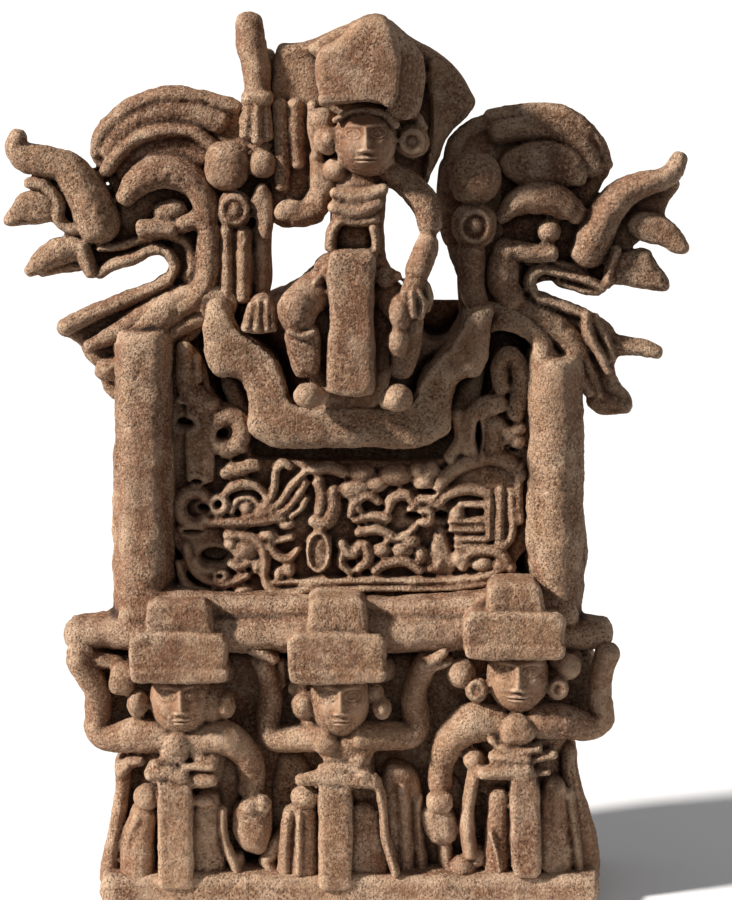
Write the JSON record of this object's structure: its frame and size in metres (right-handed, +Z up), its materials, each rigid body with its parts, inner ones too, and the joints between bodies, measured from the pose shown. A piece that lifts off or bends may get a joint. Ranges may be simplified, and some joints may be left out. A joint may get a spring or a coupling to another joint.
{
  "type": "clay sculpture",
  "caption": "Fired clay figure group: bearers lift a stepped throne with a carved panel, where a plumed lord sits between serpent heads.",
  "frame": {"origin": "on the ground, under the middle of the sculpture's width and depth", "axes": "+Z up, the front faces -Y, and +X is the viewer's right"},
  "size_m": [0.2306, 0.0704, 0.3001],
  "materials": {
    "clay": "matte, gritty, with worn paint"
  },
  "bodies": {
    "root": {"sculpture": "clay"}
  },
  "joints": []
}
